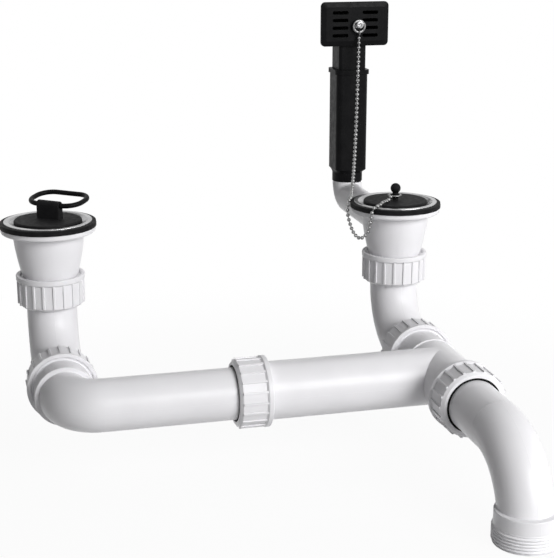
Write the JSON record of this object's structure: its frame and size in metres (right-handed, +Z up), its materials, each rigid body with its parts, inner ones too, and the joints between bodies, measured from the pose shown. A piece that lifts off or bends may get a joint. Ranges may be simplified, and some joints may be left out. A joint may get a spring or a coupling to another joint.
{
  "type": "double sink waste and overflow",
  "caption": "White plastic waste kit for a double-bowl sink: strainer wastes with rubber plugs, cross pipe and tee to a threaded outlet bend, and a telescopic overflow with a chain.",
  "frame": {"origin": "centre of the right waste, on the plane where the sink's floor is clamped between gasket and cup seal", "axes": "+X along the cross pipe from the left waste to the right waste, +Y back to the overflow, +Z up out of the drain"},
  "size_m": [0.3684, 0.4621, 0.3352],
  "materials": {
    "white_plastic": "satin moulded polypropylene",
    "black_plastic": "satin black moulding",
    "black_rubber": "matt black rubber",
    "stainless_steel": "brushed stainless steel",
    "chain_steel": "bright nickel-plated chain"
  },
  "bodies": {
    "waste": {"left_cup": "white_plastic", "right_cup": "white_plastic", "left_waste_nut": "white_plastic", "right_waste_nut": "white_plastic", "left_bend": "white_plastic", "right_bend": "white_plastic", "left_bend_nut": "white_plastic", "right_bend_nut": "white_plastic", "cross_pipe": "white_plastic", "tee_branch_nut": "white_plastic", "outlet_tee": "white_plastic", "outlet_nut": "white_plastic", "outlet_bend": "white_plastic", "overflow_elbow": "white_plastic", "overflow_sleeve": "black_plastic", "left_plug": "black_rubber", "right_plug": "black_rubber", "left_flange_gasket": "black_rubber", "right_flange_gasket": "black_rubber", "left_cup_seal": "black_rubber", "right_cup_seal": "black_rubber", "left_bend_seal": "black_rubber", "right_bend_seal": "black_rubber", "tee_branch_seal": "black_rubber", "outlet_seal": "black_rubber", "left_waste_washer": "black_rubber", "right_waste_washer": "black_rubber", "left_flange": "stainless_steel", "right_flange": "stainless_steel", "clamp_screws": "stainless_steel", "plug_chain": "chain_steel", "chain_tie_ring": "chain_steel"},
    "overflow_slide": {"overflow_plate": "black_plastic", "overflow_gasket": "black_rubber", "overflow_head": "black_plastic", "overflow_screw": "stainless_steel"},
    "pull_ring": {"left_plug_ring": "black_plastic"}
  },
  "joints": [
    {"name": "overflow_telescope", "type": "slide", "parent": "waste", "child": "overflow_slide", "axis": [0, 0, 1], "range_m": [-0.016, 0.04], "deforming": ["plug_chain"]},
    {"name": "pull_ring_hinge", "type": "hinge", "parent": "waste", "child": "pull_ring", "pos_m": [-0.29011, 0.00233, 0.0144], "axis": [0.7771, -0.6293, 0], "range_deg": [-22, 185]}
  ]
}
